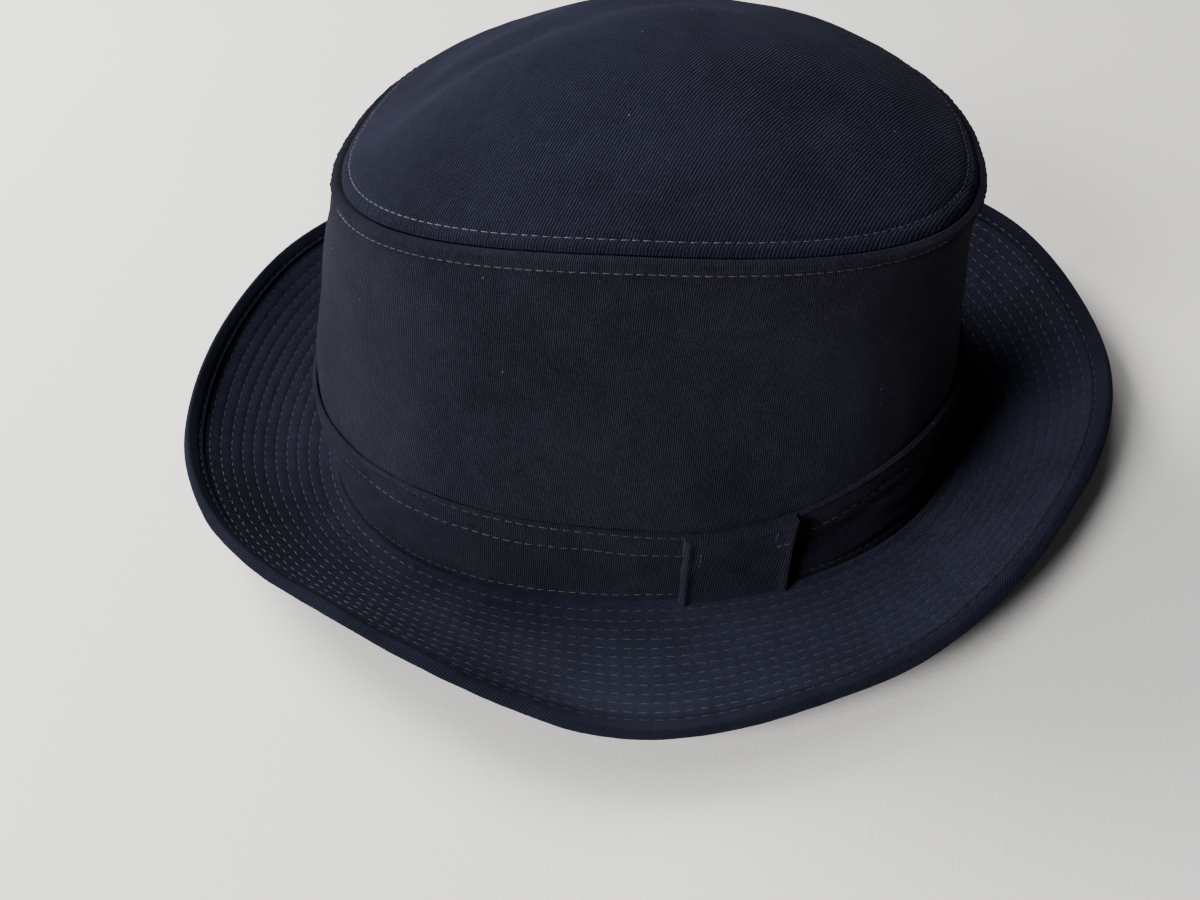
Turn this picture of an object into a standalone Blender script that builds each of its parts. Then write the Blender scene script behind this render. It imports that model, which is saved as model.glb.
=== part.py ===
"""Sewn twill hat: a soft round crown, a hat band with a tab, and a quilted brim with a bound edge.

Metres, +Z up. +X is the back of the hat, -X its front, -Y the side with the tab. The hat lies on the
two ends of its foot at Z = 0, and the origin is the middle of its outline at that height.
"""
import bpy
import bmesh
import numpy as np
from math import cos, degrees, exp, hypot, pi, radians, sin

# Cloth thicknesses and the clearance that sewn pieces keep.
GAP = 0.0003
CROWN_WALL = 0.0016
BAND_THICKNESS = 0.0012
TAB_THICKNESS = 0.0014
BRIM_THICKNESS = 0.0016
BRIM_EDGE_THICKNESS = 0.0010
BINDING_THICKNESS = 0.0008

# The two edges at the crown's seam lean, so each is set back by more than half the gap.
SEAM_SET_BACK = 0.7 * GAP

# Foot of the crown: the oval of the band's outer face where it meets the brim. It lies flat near its
# two ends, and between them it lifts.
FOOT_LENGTH = 0.2080
FOOT_WIDTH = 0.1694
FOOT_POWER = 2.16
FOOT_LIFT = 0.0032
FOOT_FLAT = radians(20.0)

# Seam ring between the side wall and the tip.
SEAM_HEIGHT = 0.1079
SEAM_LENGTH = 0.1613
SEAM_WIDTH = 0.1320
SEAM_POWER = 2.35
SEAM_BACK_SHIFT = 0.0146
SEAM_SIDE_SHIFT = -0.0038
SEAM_DROP = 0.0096
SEAM_TILT = 0.0065
SEAM_SIDE_TILT = 0.0038
SEAM_ROLL = 0.0016
SEAM_ROLL_REACH = 0.0045

# Dome of the tip, and how far the side wall swells and its dents sink.
DOME_HEIGHT = 0.0215
DOME_POWER = 2.5
SIDE_SWELL = 0.0040
SWELL_TO_FRONT = 1.2
DENT_DEPTH = 0.0040

BAND_HEIGHT = 0.0388
TAB_WIDTH = 0.0300
TAB_OVERHANG = 0.0008
TAB_ANGLE = radians(293.4)

BRIM_WIDTH = 0.0462
BRIM_SEAT = 0.0060
BRIM_CURL = 0.45
BINDING_WIDTH = 0.0046
THINNING_LEAD = 0.0005

# Columns of faces round the hat, steps in which the brim's curve is walked, and how far round, in
# degrees, the tables below are smoothed.
STATIONS = 72
BRIM_STEPS = 12
SMOOTH_REACH = 6

# How the brim turns up round the hat: angle from the back and slope in degrees, and its width there
# as a share of BRIM_WIDTH.
BRIM_TURN_COLUMNS = ("angle", "slope", "width")
BRIM_TURN = (
    (0, 20, 1.00),
    (12, 23, 1.01),
    (25, 25, 1.07),
    (45, 22, 1.06),
    (70, 18, 1.00),
    (90, 17, 1.00),
    (110, 23, 1.02),
    (130, 30, 1.06),
    (145, 33, 1.12),
    (160, 34, 1.17),
    (172, 31, 1.14),
    (182, 31, 1.115),
    (192, 29, 1.08),
    (203, 37, 1.06),
    (218, 43, 1.06),
    (233, 45, 1.03),
    (248, 39, 1.05),
    (260, 28, 1.02),
    (270, 19, 1.02),
    (280, 15, 1.01),
    (290, 16, 0.98),
    (300, 19, 0.945),
    (312, 22, 0.93),
    (324, 28, 0.89),
    (336, 33, 0.885),
    (346, 29, 0.92),
    (353, 23, 0.95),
)

# How the hat band's height changes round the hat: angle from the back in degrees, and its height as
# a share of BAND_HEIGHT.
BAND_TURN_COLUMNS = ("angle", "height")
BAND_TURN = (
    (0, 1.00),
    (90, 0.95),
    (180, 1.00),
    (212, 1.06),
    (228, 1.01),
    (245, 0.93),
    (260, 0.87),
    (275, 0.80),
    (288, 0.73),
    (300, 0.75),
    (312, 0.87),
    (324, 0.97),
    (340, 1.02),
)

# Side wall between foot and seam: height share, swell as a share of SIDE_SWELL.
SIDE_PROFILE_COLUMNS = ("height", "swell")
SIDE_PROFILE = (
    (0.00, 0.0),
    (0.15, 0.4),
    (0.30, 0.8),
    (0.48, 0.95),
    (0.64, 0.8),
    (0.78, 0.65),
    (0.90, 0.40),
    (1.00, 0.0),
)

# Soft dents and swells of the tip: place and reach as shares of the seam's half sizes, turn in
# degrees, depth as a share of DENT_DEPTH. A negative depth is a swell.
DENT_COLUMNS = ("along", "across", "long_reach", "short_reach", "turn", "depth")
DENTS = (
    (-0.42, 0.10, 0.75, 0.16, 38, 0.9),
    (0.52, -0.32, 0.30, 0.22, 20, 0.7),
    (-0.05, -0.30, 0.40, 0.25, 0, -0.5),
    (0.30, 0.45, 0.45, 0.25, -30, 0.9),
    (-0.68, 0.42, 0.50, 0.32, 55, 1.6),
)

# Rows of faces: shares of the band's height, of the wall above the band, of the way to the tip's
# centre, of the tab's half width, and of the brim from its flat seat to where it thins.
BAND_ROWS = (0.0, 0.5, 1.0)
WALL_ROWS = (0.18, 0.38, 0.58, 0.76, 0.88)
TIP_ROWS = (0.90, 0.76, 0.58, 0.38, 0.18)
TAB_COLUMNS = (-1.0, -0.8, -0.4, 0.0, 0.4, 0.8, 1.0)
BRIM_ROWS = (0.0, 0.20, 0.40, 0.60, 0.80, 1.00)

# Directions, in degrees, of the rounded outer face of the binding.
EDGE_TURNS = (-80, -40, 0, 40, 80)

# Edges that fold by more than this are drawn sharp, and small steps taken to find a face's direction.
SHARP_FOLD = radians(50.0)
ANGLE_STEP = radians(1.0)
SHARE_STEP = 0.01

NAVY = (0.010, 0.012, 0.022)
ROUGHNESS = 0.85


def oval_radius(angle, half_length, half_width, power):
    """Distance from an oval's centre to its rim, in the direction of angle."""
    along = (abs(cos(angle)) / half_length) ** power
    across = (abs(sin(angle)) / half_width) ** power
    return (along + across) ** (-1.0 / power)


def read_table(table, columns, place, value):
    """Lists of one table's places and values, picked by the names of its columns."""
    first = columns.index(place)
    second = columns.index(value)
    return [row[first] for row in table], [row[second] for row in table]


def read_round(table, columns, value, angle):
    """One of a table's values at an angle, read smoothly round the hat."""
    places, values = read_table(table, columns, "angle", value)
    turn = degrees(angle) % 360
    total = 0.0
    weight = 0.0
    for step in range(-SMOOTH_REACH, SMOOTH_REACH + 1, 2):
        share = SMOOTH_REACH + 1 - abs(step)
        total += share * np.interp(turn + step, places, values, period=360)
        weight += share
    return total / weight


def foot_height(angle):
    """The foot lies flat at both ends and lifts a little towards the sides."""
    flat = sin(FOOT_FLAT) ** 2
    rise = max(0.0, sin(angle) ** 2 - flat) / (1 - flat)
    return BRIM_THICKNESS + FOOT_LIFT * rise * rise * (3 - 2 * rise)


def foot_point(angle, inset=0.0):
    """Point of the foot oval, on the brim's top face, set in from the band's outer face."""
    radius = oval_radius(angle, FOOT_LENGTH / 2 - inset, FOOT_WIDTH / 2 - inset, FOOT_POWER)
    return np.array([radius * cos(angle), radius * sin(angle), foot_height(angle)])


def foot_normal(angle):
    """Level direction straight out of the foot oval."""
    tangent = foot_point(angle + ANGLE_STEP) - foot_point(angle - ANGLE_STEP)
    length = hypot(tangent[0], tangent[1])
    return np.array([tangent[1] / length, -tangent[0] / length, 0.0])


def tip_height(x, y):
    """Height of the seam ring's soft saddle at a place, before the dome is added."""
    along = (x - SEAM_BACK_SHIFT) / (SEAM_LENGTH / 2)
    across = (y - SEAM_SIDE_SHIFT) / (SEAM_WIDTH / 2)
    saddle = SEAM_TILT * along + SEAM_DROP * along * along + SEAM_SIDE_TILT * across
    return BRIM_THICKNESS + SEAM_HEIGHT - saddle


def seam_point(angle, share=1.0):
    """Point on the seam ring, or on the same ring shrunk towards the tip's centre."""
    radius = share * oval_radius(angle, SEAM_LENGTH / 2, SEAM_WIDTH / 2, SEAM_POWER)
    x = SEAM_BACK_SHIFT + radius * cos(angle)
    y = SEAM_SIDE_SHIFT + radius * sin(angle)
    return np.array([x, y, tip_height(x, y)])


def side_point(angle, share):
    """Outer face of the side wall, from the foot (0) to the seam (1)."""
    foot = foot_point(angle, BAND_THICKNESS + GAP) + np.array([0.0, 0.0, GAP])
    heights, swells = read_table(SIDE_PROFILE, SIDE_PROFILE_COLUMNS, "height", "swell")
    swell = SIDE_SWELL * np.interp(share, heights, swells) * (1 - SWELL_TO_FRONT * cos(angle))
    return foot * (1 - share) + seam_point(angle) * share + foot_normal(angle) * swell


def dent_depth(along, across):
    """How far the tip sinks at a place given as shares of the seam's half sizes."""
    total = 0.0
    for row in DENTS:
        dent = dict(zip(DENT_COLUMNS, row))
        turn = radians(dent["turn"])
        dx = along - dent["along"]
        dy = across - dent["across"]
        far = (dx * cos(turn) + dy * sin(turn)) / dent["long_reach"]
        near = (dy * cos(turn) - dx * sin(turn)) / dent["short_reach"]
        total += dent["depth"] * exp(-far * far - near * near)
    rim = max(0.0, 1 - hypot(along, across) ** 4)
    return DENT_DEPTH * total * rim


def tip_point(angle, share):
    """Outer face of the tip, from its centre (0) to the seam (1)."""
    point = seam_point(angle, share)
    along = (point[0] - SEAM_BACK_SHIFT) / (SEAM_LENGTH / 2)
    across = (point[1] - SEAM_SIDE_SHIFT) / (SEAM_WIDTH / 2)
    point[2] += DOME_HEIGHT * (1 - share ** DOME_POWER) - dent_depth(along, across)
    return point


def angles():
    """Directions of the columns of faces round the hat."""
    return [2 * pi * i / STATIONS for i in range(STATIONS)]


def grid_normals(grid):
    """Outward unit normals of a grid whose rows climb and whose columns run round the hat."""
    climb = np.gradient(grid, axis=0)
    round_about = np.roll(grid, -1, axis=1) - np.roll(grid, 1, axis=1)
    normal = np.cross(round_about, climb)
    return normal / np.linalg.norm(normal, axis=2)[:, :, None]


def side_slant():
    """Height of the side wall along its face, on the side with the tab."""
    near = radians(270.0)
    return np.linalg.norm(side_point(near, 1.0) - side_point(near, 0.0))


def band_share(angle):
    """Share of the side wall's height that the band covers at an angle."""
    height = BAND_HEIGHT * read_round(BAND_TURN, BAND_TURN_COLUMNS, "height", angle)
    return height / side_slant()


def crown_grids():
    """Outer and inner faces of the whole crown, and the row where the side wall ends."""
    slant = side_slant()
    roll = SEAM_ROLL_REACH / slant
    shares = [[band_share(a) * row for a in angles()] for row in BAND_ROWS]
    shares += [[band_share(a) * (1 - row) + row for a in angles()] for row in WALL_ROWS]
    shares += [[share] * STATIONS for share in (1 - roll, 1 - roll / 3, 1 - SEAM_SET_BACK / slant)]
    rows = [[side_point(a, share) for a, share in zip(angles(), row)] for row in shares]
    last = len(rows) - 1
    reach = SEAM_WIDTH / 2
    insets = (SEAM_SET_BACK, SEAM_ROLL_REACH / 3, SEAM_ROLL_REACH)
    tip_shares = [1 - inset / reach for inset in insets] + list(TIP_ROWS)
    rows += [[tip_point(a, share) for a in angles()] for share in tip_shares]
    outer = np.array(rows)
    puff = np.zeros(len(rows))
    puff[[last - 2, last - 1, last + 2, last + 3]] = SEAM_ROLL * np.array([1.0, 0.8, 0.8, 1.0])
    outer = outer + grid_normals(outer) * puff[:, None, None]
    normals = grid_normals(outer)
    normals[0] = [foot_normal(a) for a in angles()]
    return outer, outer - CROWN_WALL * normals, last


def new_object(name, bm):
    """A named object from a bmesh, with its own material and smooth round faces."""
    bmesh.ops.recalc_face_normals(bm, faces=bm.faces)
    mesh = bpy.data.meshes.new(name)
    bm.to_mesh(mesh)
    bm.free()
    mesh.shade_smooth()
    mesh.set_sharp_from_angle(angle=SHARP_FOLD)
    material = bpy.data.materials.new(name + "_cloth")
    material.use_nodes = True
    shader = material.node_tree.nodes["Principled BSDF"]
    shader.inputs["Base Color"].default_value = (*NAVY, 1.0)
    shader.inputs["Roughness"].default_value = ROUGHNESS
    shader.inputs["Metallic"].default_value = 0.0
    mesh.materials.append(material)
    obj = bpy.data.objects.new(name, mesh)
    bpy.context.collection.objects.link(obj)
    return obj


def add_rows(bm, grid):
    return [[bm.verts.new(point) for point in row] for row in grid]


def bridge(bm, first, second, closed=True):
    """Quads between two rows of vertices."""
    count = len(first)
    for i in range(count if closed else count - 1):
        j = (i + 1) % count
        bm.faces.new((first[i], first[j], second[j], second[i]))


def ring_solid(name, loops):
    """A closed ring whose cross-section runs through the given loops of points."""
    bm = bmesh.new()
    rows = add_rows(bm, loops)
    for i, row in enumerate(rows):
        bridge(bm, row, rows[(i + 1) % len(rows)])
    return new_object(name, bm)


def make_crown_side(outer, inner, last):
    loops = list(outer[:last + 1]) + list(inner[:last + 1][::-1])
    return ring_solid("crown_side", loops)


def make_crown_tip(outer, inner, last):
    """The tip is a dome of rings that close on one point above and one below."""
    bm = bmesh.new()
    top = tip_point(0.0, 0.0)
    loops = list(inner[last + 1:][::-1]) + list(outer[last + 1:])
    rows = add_rows(bm, loops)
    for lower, upper in zip(rows, rows[1:]):
        bridge(bm, lower, upper)
    above = bm.verts.new(top)
    below = bm.verts.new(top - np.array([0.0, 0.0, CROWN_WALL]))
    for row, centre in ((rows[0], below), (rows[-1], above)):
        for i, vert in enumerate(row):
            bm.faces.new((vert, row[(i + 1) % len(row)], centre))
    return new_object("crown_tip", bm)


def band_face(angle, share, offset):
    """Point that stands off the side wall, for the band and its tab."""
    climb = side_point(angle, share + SHARE_STEP) - side_point(angle, max(0.0, share - SHARE_STEP))
    along = side_point(angle + ANGLE_STEP, share) - side_point(angle - ANGLE_STEP, share)
    normal = np.cross(along, climb)
    if share == 0.0:
        normal[2] = 0.0
    return side_point(angle, share) + offset * normal / np.linalg.norm(normal)


def make_hat_band():
    loops = []
    for offset, rows in ((GAP + BAND_THICKNESS, BAND_ROWS), (GAP, BAND_ROWS[::-1])):
        for row in rows:
            loops.append([band_face(a, band_share(a) * row, offset) for a in angles()])
    return ring_solid("hat_band", loops)


def make_band_tab():
    """A folded strip that stands over the band and a little above its top edge."""
    radius = np.linalg.norm(foot_point(TAB_ANGLE)[:2])
    half_turn = TAB_WIDTH / radius / 2
    columns = [TAB_ANGLE + half_turn * share for share in TAB_COLUMNS]
    above = TAB_OVERHANG / side_slant()
    inner = 2 * GAP + BAND_THICKNESS
    bm = bmesh.new()
    faces = {}
    for layer, offset in ((0, inner), (1, inner + TAB_THICKNESS)):
        rows = [[band_face(a, band_share(a) * row, offset) for a in columns] for row in BAND_ROWS]
        rows.append([band_face(a, band_share(a) + above, offset) for a in columns])
        faces[layer] = add_rows(bm, rows)
        for lower, upper in zip(faces[layer], faces[layer][1:]):
            bridge(bm, lower, upper, closed=False)
    for end in (0, -1):
        bridge(bm, faces[0][end], faces[1][end], closed=False)
        under = [row[end] for row in faces[0]]
        over = [row[end] for row in faces[1]]
        bridge(bm, under, over, closed=False)
    return new_object("band_tab", bm)


def brim_section(angle, reach):
    """Top face of the brim at a distance out from the band, with the section's two directions."""
    out = foot_normal(angle)
    up = np.array([0.0, 0.0, 1.0])
    start = foot_point(angle)
    if reach <= BRIM_SEAT:
        return start + out * reach, out, up
    slope = radians(read_round(BRIM_TURN, BRIM_TURN_COLUMNS, "slope", angle))
    span = brim_edge(angle) - BRIM_SEAT
    place = start + out * BRIM_SEAT
    length = (reach - BRIM_SEAT) / BRIM_STEPS
    for i in range(BRIM_STEPS):
        share = (i + 0.5) * length / span
        tilt = slope * (1 - BRIM_CURL + 2 * BRIM_CURL * share)
        place = place + (out * cos(tilt) + up * sin(tilt)) * length
    share = (reach - BRIM_SEAT) / span
    tilt = slope * (1 - BRIM_CURL + 2 * BRIM_CURL * share)
    return place, out * cos(tilt) + up * sin(tilt), up * cos(tilt) - out * sin(tilt)


def brim_edge(angle):
    """Distance from the band to the brim's own edge, inside its binding."""
    width = BRIM_WIDTH * read_round(BRIM_TURN, BRIM_TURN_COLUMNS, "width", angle)
    return width - GAP - BINDING_THICKNESS


def brim_thickness(angle, reach):
    """The brim thins from just inside its binding out to its edge."""
    edge = brim_edge(angle)
    places = (edge - BINDING_WIDTH - THINNING_LEAD, edge)
    return np.interp(reach, places, (BRIM_THICKNESS, BRIM_EDGE_THICKNESS))


def make_brim():
    top = []
    bottom = []
    inner = -(BAND_THICKNESS + GAP + CROWN_WALL)
    for row in range(len(BRIM_ROWS) + 2):
        upper = []
        lower = []
        for a in angles():
            edge = brim_edge(a)
            span = edge - BINDING_WIDTH - THINNING_LEAD - BRIM_SEAT
            reaches = [inner] + [BRIM_SEAT + span * share for share in BRIM_ROWS] + [edge]
            point, out, up = brim_section(a, reaches[row])
            upper.append(point)
            lower.append(point - up * brim_thickness(a, reaches[row]))
        top.append(upper)
        bottom.append(lower)
    return ring_solid("brim", top + bottom[::-1])


def make_brim_binding():
    """A folded strip, open towards the crown, that wraps the brim's edge above and below."""
    over = GAP + BINDING_THICKNESS
    # Each corner of the strip's section: place out from the brim's edge, depth as a share of the
    # brim's thickness, and height above that.
    section = [
        (-BINDING_WIDTH, 0.0, GAP),
        (GAP, 0.0, GAP),
        (GAP, 1.0, -GAP),
        (-BINDING_WIDTH, 1.0, -GAP),
        (-BINDING_WIDTH, 1.0, -over),
    ]
    for turn in EDGE_TURNS:
        across = GAP + BINDING_THICKNESS * cos(radians(turn))
        section.append((across, (1 - sin(radians(turn))) / 2, over * sin(radians(turn))))
    section.append((-BINDING_WIDTH, 0.0, over))
    loops = []
    for across, depth, height in section:
        loop = []
        for a in angles():
            # The strip's free edges lie on the brim's curve, in from its edge.
            reach = brim_edge(a) + min(0.0, across)
            point, out, up = brim_section(a, reach)
            lift = height - depth * brim_thickness(a, reach)
            loop.append(point + out * max(0.0, across) + up * lift)
        loops.append(loop)
    return ring_solid("brim_binding", loops)


def stand_on_origin(objects):
    """Move every mesh so that the hat's outline is centred on the origin, at Z = 0."""
    points = np.array([vert.co[:] for obj in objects for vert in obj.data.vertices])
    low = points.min(axis=0)
    high = points.max(axis=0)
    shift = np.array([(low[0] + high[0]) / 2, (low[1] + high[1]) / 2, low[2]])
    for obj in objects:
        obj.location = [float(-value) for value in shift]


def main():
    for obj in list(bpy.data.objects):
        bpy.data.objects.remove(obj, do_unlink=True)
    outer, inner, last = crown_grids()
    objects = [
        make_crown_side(outer, inner, last),
        make_crown_tip(outer, inner, last),
        make_hat_band(),
        make_band_tab(),
        make_brim(),
        make_brim_binding(),
    ]
    stand_on_origin(objects)


main()
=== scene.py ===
"""Looks of the sewn twill hat: cloth pieces, rows of stitches, floor, light and camera.

Metres, +Z up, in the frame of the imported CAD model. +X is the back of the hat, -Y the side with the tab.
The hat's own shape is worked out from the same sizes as the CAD solids, with many more faces.
"""
from math import cos, pi, radians, sin

import bpy
import numpy as np
from mathutils import Matrix, Vector, noise


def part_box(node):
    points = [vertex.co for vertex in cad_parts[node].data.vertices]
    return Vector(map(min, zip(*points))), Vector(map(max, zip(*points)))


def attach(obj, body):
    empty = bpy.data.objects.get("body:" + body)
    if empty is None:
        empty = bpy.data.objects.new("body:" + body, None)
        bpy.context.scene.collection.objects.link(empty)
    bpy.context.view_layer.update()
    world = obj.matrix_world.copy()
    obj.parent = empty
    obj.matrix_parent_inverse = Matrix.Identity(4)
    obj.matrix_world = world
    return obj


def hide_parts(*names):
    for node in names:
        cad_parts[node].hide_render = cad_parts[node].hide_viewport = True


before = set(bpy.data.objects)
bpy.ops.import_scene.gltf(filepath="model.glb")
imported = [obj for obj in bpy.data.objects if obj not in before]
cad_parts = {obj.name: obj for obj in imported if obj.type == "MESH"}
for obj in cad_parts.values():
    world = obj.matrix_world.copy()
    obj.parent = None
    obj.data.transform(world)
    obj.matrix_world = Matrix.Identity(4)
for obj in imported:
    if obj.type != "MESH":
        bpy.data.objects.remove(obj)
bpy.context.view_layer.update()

# Sizes and tables of the hat's shape, as in the CAD model.
# Cloth thicknesses and the clearance that sewn pieces keep.
GAP = 0.0003
CROWN_WALL = 0.0016
BAND_THICKNESS = 0.0012
TAB_THICKNESS = 0.0014
BRIM_THICKNESS = 0.0016
BRIM_EDGE_THICKNESS = 0.0010
BINDING_THICKNESS = 0.0008

# Foot of the crown: the oval of the band's outer face where it meets the brim. It lies flat near its
# two ends, and between them it lifts.
FOOT_LENGTH = 0.2080
FOOT_WIDTH = 0.1694
FOOT_POWER = 2.16
FOOT_LIFT = 0.0032
FOOT_FLAT = radians(20.0)

# Seam ring between the side wall and the tip.
SEAM_HEIGHT = 0.1079
SEAM_LENGTH = 0.1613
SEAM_WIDTH = 0.1320
SEAM_POWER = 2.35
SEAM_BACK_SHIFT = 0.0146
SEAM_SIDE_SHIFT = -0.0038
SEAM_DROP = 0.0096
SEAM_TILT = 0.0065
SEAM_SIDE_TILT = 0.0038
SEAM_ROLL = 0.0016

# Dome of the tip, and how far the side wall swells and its dents sink.
DOME_HEIGHT = 0.0215
DOME_POWER = 2.5
SIDE_SWELL = 0.0040
SWELL_TO_FRONT = 1.2
DENT_DEPTH = 0.0040

BAND_HEIGHT = 0.0388
TAB_WIDTH = 0.0300
TAB_OVERHANG = 0.0008
TAB_ANGLE = radians(293.4)

BRIM_WIDTH = 0.0462
BRIM_SEAT = 0.0060
BRIM_CURL = 0.45
BINDING_WIDTH = 0.0046
THINNING_LEAD = 0.0005

# Columns of faces round the CAD's solids, steps in which the brim's curve is walked, and how far
# round, in degrees, the tables below are smoothed.
STATIONS = 72
BRIM_STEPS = 12
SMOOTH_REACH = 6

# How the brim turns up round the hat: angle from the back and slope in degrees, and its width there
# as a share of BRIM_WIDTH.
BRIM_TURN_COLUMNS = ("angle", "slope", "width")
BRIM_TURN = (
    (0, 20, 1.00),
    (12, 23, 1.01),
    (25, 25, 1.07),
    (45, 22, 1.06),
    (70, 18, 1.00),
    (90, 17, 1.00),
    (110, 23, 1.02),
    (130, 30, 1.06),
    (145, 33, 1.12),
    (160, 34, 1.17),
    (172, 31, 1.14),
    (182, 31, 1.115),
    (192, 29, 1.08),
    (203, 37, 1.06),
    (218, 43, 1.06),
    (233, 45, 1.03),
    (248, 39, 1.05),
    (260, 28, 1.02),
    (270, 19, 1.02),
    (280, 15, 1.01),
    (290, 16, 0.98),
    (300, 19, 0.945),
    (312, 22, 0.93),
    (324, 28, 0.89),
    (336, 33, 0.885),
    (346, 29, 0.92),
    (353, 23, 0.95),
)

# How the hat band's height changes round the hat: angle from the back in degrees, and its height as
# a share of BAND_HEIGHT.
BAND_TURN_COLUMNS = ("angle", "height")
BAND_TURN = (
    (0, 1.00),
    (90, 0.95),
    (180, 1.00),
    (212, 1.06),
    (228, 1.01),
    (245, 0.93),
    (260, 0.87),
    (275, 0.80),
    (288, 0.73),
    (300, 0.75),
    (312, 0.87),
    (324, 0.97),
    (340, 1.02),
)

# Side wall between foot and seam: height share, swell as a share of SIDE_SWELL.
SIDE_PROFILE_COLUMNS = ("height", "swell")
SIDE_PROFILE = (
    (0.00, 0.0),
    (0.15, 0.4),
    (0.30, 0.8),
    (0.48, 0.95),
    (0.64, 0.8),
    (0.78, 0.65),
    (0.90, 0.40),
    (1.00, 0.0),
)

# Soft dents and swells of the tip: place and reach as shares of the seam's half sizes, turn in
# degrees, depth as a share of DENT_DEPTH. A negative depth is a swell.
DENT_COLUMNS = ("along", "across", "long_reach", "short_reach", "turn", "depth")
DENTS = (
    (-0.42, 0.10, 0.75, 0.16, 38, 0.9),
    (0.52, -0.32, 0.30, 0.22, 20, 0.7),
    (-0.05, -0.30, 0.40, 0.25, 0, -0.5),
    (0.30, 0.45, 0.45, 0.25, -30, 0.9),
    (-0.68, 0.42, 0.50, 0.32, 55, 1.6),
)

# Rolled cloth on both sides of the crown's seam: distance from the seam in metres, and the rise of the
# tip's and of the side wall's cloth as a share of SEAM_ROLL. Each dips where its stitches pull it down.
ROLL_COLUMNS = ("distance", "tip", "side")
ROLL = (
    (0.0000, -0.10, 0.10),
    (0.0003, -0.05, 0.60),
    (0.0007, 0.14, 1.10),
    (0.0013, 0.34, 1.30),
    (0.0019, 0.34, 1.22),
    (0.0026, 0.10, 0.92),
    (0.0032, 0.24, 0.55),
    (0.0038, 0.30, 0.18),
    (0.0046, 0.28, 0.40),
    (0.0064, 0.18, 0.42),
    (0.0090, 0.06, 0.20),
    (0.0120, 0.00, 0.00),
)

# Hang of the soft side wall below the seam: distance from the seam in metres, and how far it stands
# out as a share of HANG_DEPTH, made uneven by noise. It is weaker on the far side, fades out to the
# hat's front and back, and never stands out by more than HANG_LIMIT, so that the band hides it.
HANG_DEPTH = 0.0044
FAR_HANG = 0.35
HANG_FADE = 1.5
HANG_LIMIT = 0.0005
HANG_UNEVEN = 0.45
HANG_BLUR = 0.006
HANG_COLUMNS = ("distance", "out")
HANG = (
    (0.000, 0.0),
    (0.008, 0.0),
    (0.018, -0.20),
    (0.030, -0.75),
    (0.040, -1.00),
    (0.050, -0.78),
    (0.062, -0.10),
    (0.072, 0.20),
    (0.082, 0.10),
    (0.094, 0.0),
    (0.130, 0.0),
)

# Meshes: columns of faces round the crown and the brim, steps down or across the cloth, the rows at
# the crown's foot without relief, and the turn between faces from which an edge is sharp.
CROWN_COLUMNS = 480
BRIM_COLUMNS = 640
CLOTH_STEP = 0.0013
SEAM_STEPS = (0.0002, 0.0004, 0.0007, 0.0011, 0.0015, 0.0019, 0.0023, 0.0026, 0.0030, 0.0034, 0.0038,
              0.0042, 0.0048, 0.0056, 0.0066, 0.0078, 0.0090)
EDGE_STEPS = (0.10, 0.30, 0.55, 0.80, 1.0)
INNER_EVERY = 5
PLAIN_ROWS = 3
BAND_STEPS = 44
TAB_COLUMNS = 61
TAB_ROWS = 57
STITCH_LINE_POINTS = 900
TAB_RUN_POINTS = 40
SHARP_TURN = radians(55)

# Waves of the worn cloths, each a height in metres and a scale, and the seeds of their noise.
CROWN_WAVES = ((0.00060, 38.0), (0.00025, 95.0))
PUCKERS = ((0.00026, 210.0),)
BRIM_WAVES = ((0.00016, 260.0), (0.00035, 55.0))
BINDING_WAVES = ((0.00012, 230.0), (0.00025, 60.0))
BAND_WAVES = ((0.00105, 42.0), (0.0005, 105.0))
TAB_WAVES = ((0.0008, 70.0), (0.0004, 160.0))
SIDE_SEED = 1
TIP_SEED = 5
BRIM_SEED = 9
BINDING_SEED = 12
BAND_SEED = 21
TAB_SEED = 31
HANG_SEED = 40

# Puckers at the crown's seam: depth of those that single stitches pull, and how far from the seam
# the puckers reach and the crown's waves begin.
STITCH_PUCKER = 0.00012
PUCKER_REACH = 0.0065
WAVE_START = 0.012

# Relief of the band: its bead along the folded top, the dips of its rows, the margin in which its
# folds fade out, and how far down its top is rounded.
BAND_BEAD = 0.00055
ROW_DIP = 0.00032
ROW_DIP_REACH = 0.0009
BAND_MARGIN = 0.006
BAND_ROUND = 0.0006

# Relief of the tab: thick fold on one side, lift of the other, bead inside its edges, belly, and the
# squeeze at its edges.
TAB_FOLD = 0.0006
TAB_FOLD_PLACE = 0.0013
TAB_LIFT = 0.0010
TAB_LIFT_REACH = 0.0035
TAB_BEAD = 0.0003
TAB_BEAD_PLACE = 0.0012
TAB_BELLY = 0.0012
TAB_SQUEEZE = 0.55
TAB_SQUEEZE_REACH = 0.0005
TAB_MARGIN = 0.003

# Directions, in degrees, of the rounded outer face of the binding.
EDGE_TURNS = (-80, -60, -40, -20, 0, 20, 40, 60, 80)

# Stitches: the thread's radius, and for each seam its rows' distance from the edge or seam beside
# them, the pitch of the stitches, and the share of the pitch that each one covers.
THREAD = 0.00011
TIP_SEAM_ROW = 0.0026
SIDE_SEAM_ROW = 0.0038
SEAM_PITCH = 0.0024
SEAM_DASH = 0.80
BRIM_ROWS = 12
BRIM_FIRST_ROW = 0.0030
BRIM_LAST_ROW = 0.0022
BRIM_PITCH = 0.0038
BRIM_DASH = 0.58
BAND_ROW_TOP = 0.0017
BAND_ROW_MIDDLE = 0.0095
BAND_ROW_FOOT = 0.0028
BAND_PITCH = 0.0031
BAND_DASH = 0.74
BINDING_ROW = 0.0012
BINDING_ROW_DEPTH = 0.00062

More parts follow.
